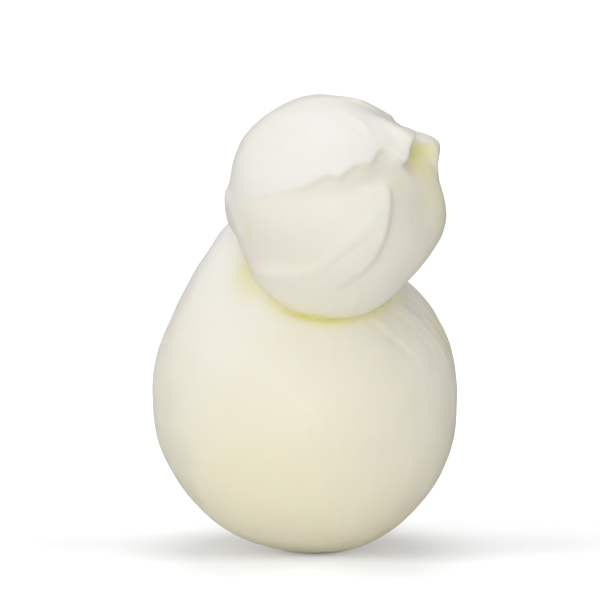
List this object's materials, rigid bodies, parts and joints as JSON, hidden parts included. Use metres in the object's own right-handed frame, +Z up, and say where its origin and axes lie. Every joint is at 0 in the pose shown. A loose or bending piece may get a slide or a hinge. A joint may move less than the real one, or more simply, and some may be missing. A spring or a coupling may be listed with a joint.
{
  "type": "scamorza cheese",
  "caption": "Pear-shaped stretched-curd cheese whose round, folded head leans over the neck and rests on the body's shoulder.",
  "frame": {"origin": "centre of the small flat spot that the cheese rests on", "axes": "+Z up from the resting spot to the head, -Y towards the front where the head hangs over, +X to the right as seen from the front"},
  "size_m": [0.076, 0.0853, 0.1144],
  "materials": {
    "curd": "creamy white fresh curd, satin skin, slightly translucent and a little yellower low down and in the folds"
  },
  "bodies": {
    "root": {"scamorza": "curd"}
  },
  "joints": []
}
